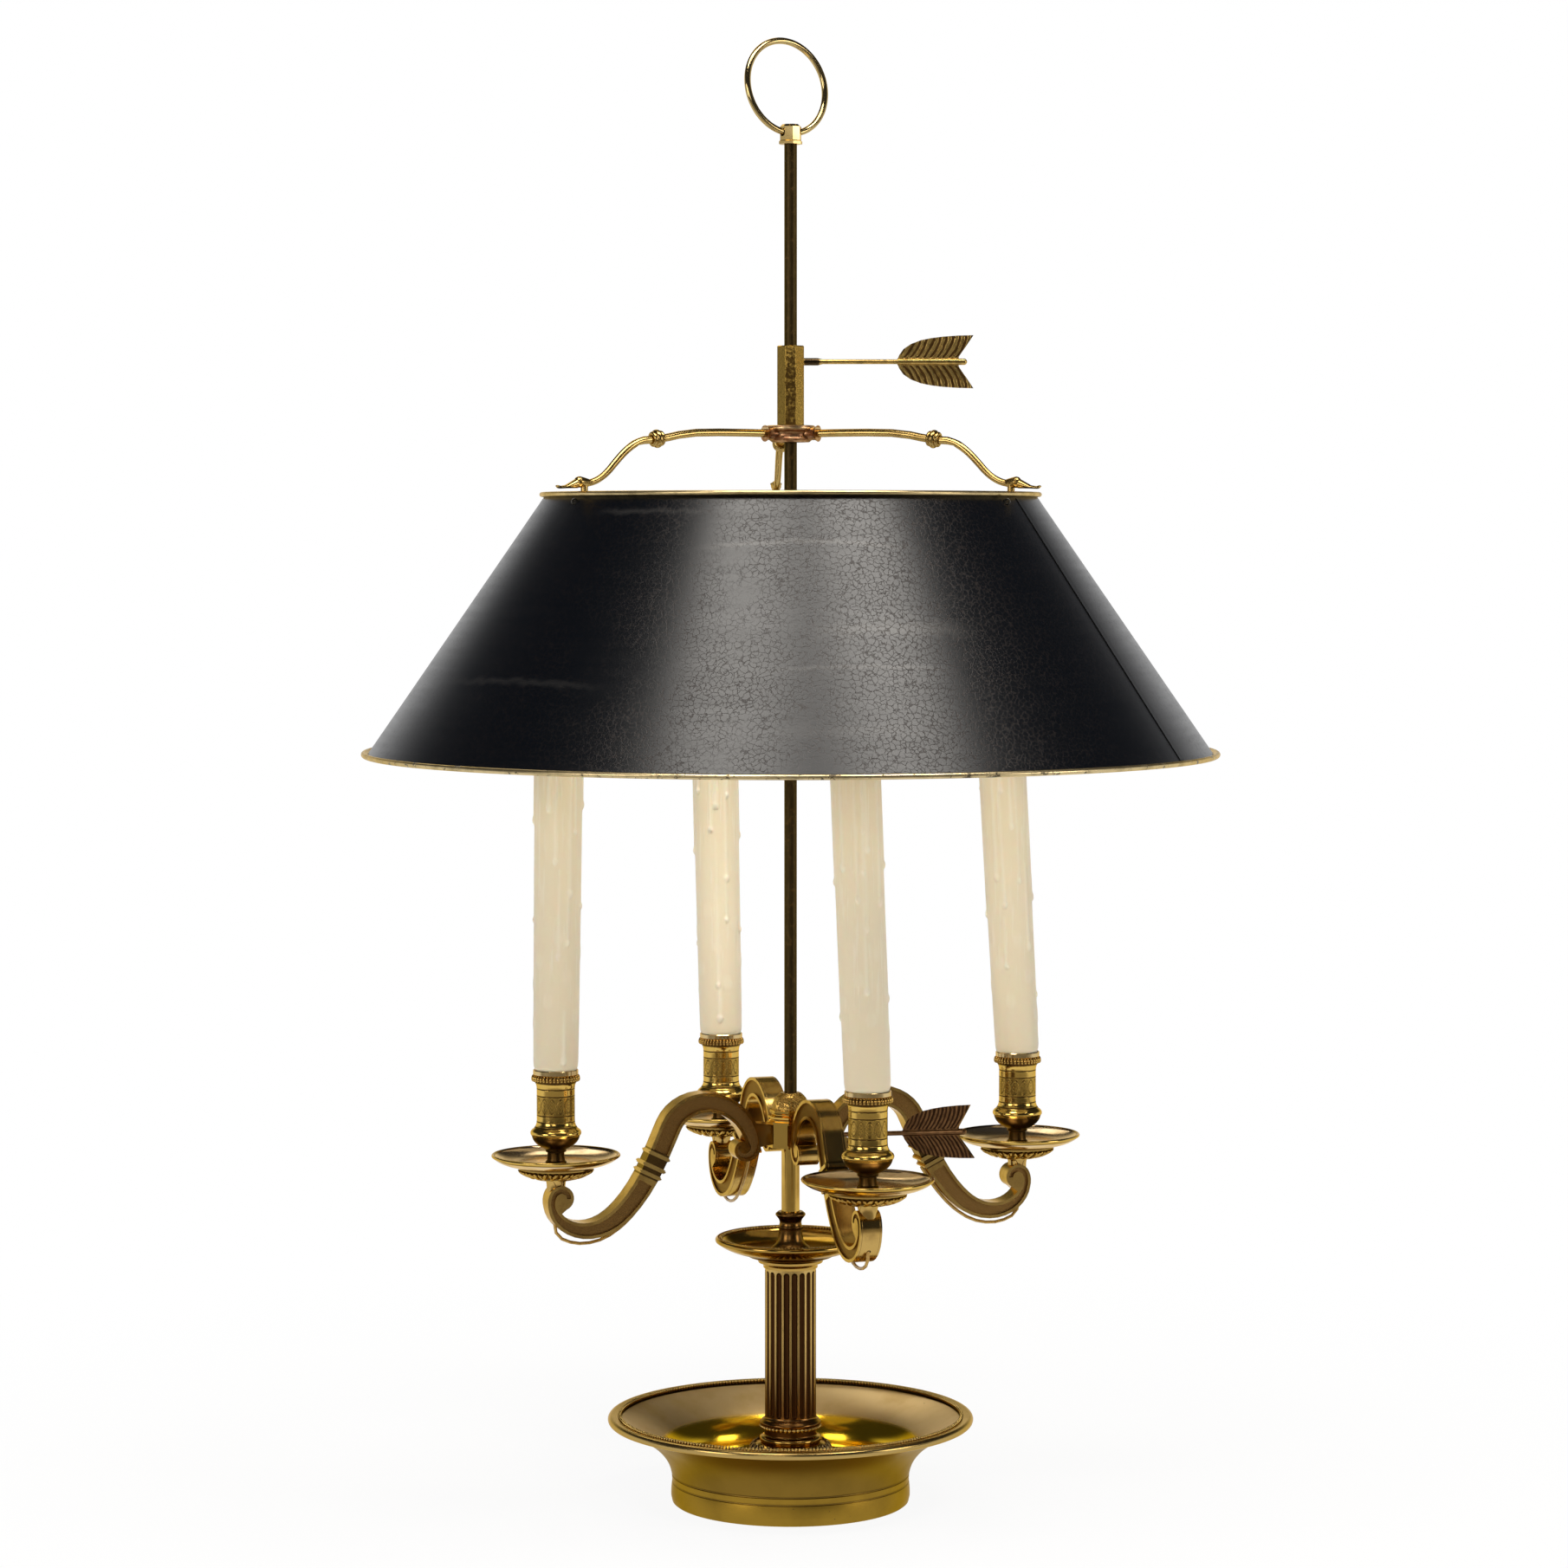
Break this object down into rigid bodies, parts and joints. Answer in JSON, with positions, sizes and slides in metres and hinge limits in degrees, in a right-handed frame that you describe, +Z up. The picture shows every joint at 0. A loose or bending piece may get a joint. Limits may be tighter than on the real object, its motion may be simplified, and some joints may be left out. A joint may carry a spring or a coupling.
{
  "type": "bouillotte lamp",
  "caption": "Brass table lamp with candle arms round a rod, a sliding black tole shade on swan-neck brackets, arrow locking screws, a dished base and a ring handle.",
  "frame": {"origin": "centre of the foot, on the surface that the lamp stands on", "axes": "+Z up along the rod; -Y towards the viewer; +X to the viewer's right, the way the shade's locking arrow points"},
  "size_m": [0.5081, 0.5082, 0.8711],
  "materials": {
    "polished_brass": "polished, softly aged",
    "aged_brass": "polished borders with brown patina in the recesses",
    "dark_bronze": "dark brown patina, satin",
    "red_bronze": "reddish bronze, satin",
    "black_tole": "black japanned sheet, glossy with fine crackle",
    "worn_gilt": "worn gold paint over sheet metal",
    "candle_ivory": "waxy ivory",
    "socket_white": "white glazed",
    "bulb_glass": "frosted warm glass",
    "wire_gold": "clear gold insulation",
    "cast_iron": "raw casting",
    "green_felt": "felt"
  },
  "bodies": {
    "stand": {"felt_pad": "green_felt", "base_dish": "polished_brass", "base_ballast": "cast_iron", "base_locknut": "aged_brass", "column_foot": "aged_brass", "column": "aged_brass", "capital": "polished_brass", "tazza": "aged_brass", "stem_collar": "aged_brass", "stem_rod": "dark_bronze", "finial_block": "polished_brass"},
    "ring": {"ring_handle": "polished_brass"},
    "arm_guide": {"arm_tube": "polished_brass"},
    "arm_cluster": {"arm_hub": "polished_brass", "hub_cap": "aged_brass", "cup_nipples": "aged_brass", "arm_1": "aged_brass", "arm_2": "aged_brass", "arm_3": "aged_brass", "arm_4": "aged_brass", "drip_pan_1": "polished_brass", "drip_pan_2": "polished_brass", "drip_pan_3": "polished_brass", "drip_pan_4": "polished_brass", "candle_cup_1": "polished_brass", "candle_cup_2": "polished_brass", "candle_cup_3": "polished_brass", "candle_cup_4": "polished_brass", "candle_cover_1": "candle_ivory", "candle_cover_2": "candle_ivory", "candle_cover_3": "candle_ivory", "candle_cover_4": "candle_ivory", "lamp_socket_1": "socket_white", "lamp_socket_2": "socket_white", "lamp_socket_3": "socket_white", "lamp_socket_4": "socket_white", "bulb_1": "bulb_glass", "bulb_2": "bulb_glass", "bulb_3": "bulb_glass", "bulb_4": "bulb_glass", "arm_wire_1": "wire_gold", "arm_wire_2": "wire_gold", "arm_wire_3": "wire_gold", "arm_wire_4": "wire_gold"},
    "arm_screw": {"lower_arrow": "dark_bronze"},
    "shade_guide": {"shade_sleeve": "polished_brass", "shade_nut": "aged_brass"},
    "shade_screw": {"upper_arrow": "polished_brass"},
    "shade": {"spider_hub": "red_bronze", "swan_arm_1": "polished_brass", "swan_arm_2": "polished_brass", "swan_arm_3": "polished_brass", "shade_shell": "black_tole", "shade_top_ring": "worn_gilt", "shade_bottom_rim": "worn_gilt", "shade_pins": "aged_brass"}
  },
  "joints": [
    {"name": "ring_swing", "type": "hinge", "parent": "stand", "child": "ring", "pos_m": [0, 0, 0.8148], "axis": [0.8191, 0.5736, 0], "range_deg": [-150, 160]},
    {"name": "arm_slide", "type": "slide", "parent": "stand", "child": "arm_guide", "axis": [0, 0, 1], "range_m": [0, 0.03]},
    {"name": "arm_turn", "type": "hinge", "parent": "arm_guide", "child": "arm_cluster", "pos_m": [0, 0, 0.2137], "axis": [0, 0, 1], "continuous": true},
    {"name": "arm_screw_turn", "type": "hinge", "parent": "arm_cluster", "child": "arm_screw", "pos_m": [0.0106, -0.00552, 0.22105], "axis": [0.8836, -0.46, 0.0872], "range_deg": [-360, 360]},
    {"name": "shade_slide", "type": "slide", "parent": "stand", "child": "shade_guide", "axis": [0, 0, 1], "range_m": [-0.04, 0.115]},
    {"name": "shade_turn", "type": "hinge", "parent": "shade_guide", "child": "shade", "pos_m": [0, 0, 0.643], "axis": [0, 0, 1], "continuous": true},
    {"name": "shade_screw_turn", "type": "hinge", "parent": "shade_guide", "child": "shade_screw", "pos_m": [0.008, 0, 0.6804], "axis": [1, 0, 0], "range_deg": [-360, 360]}
  ]
}
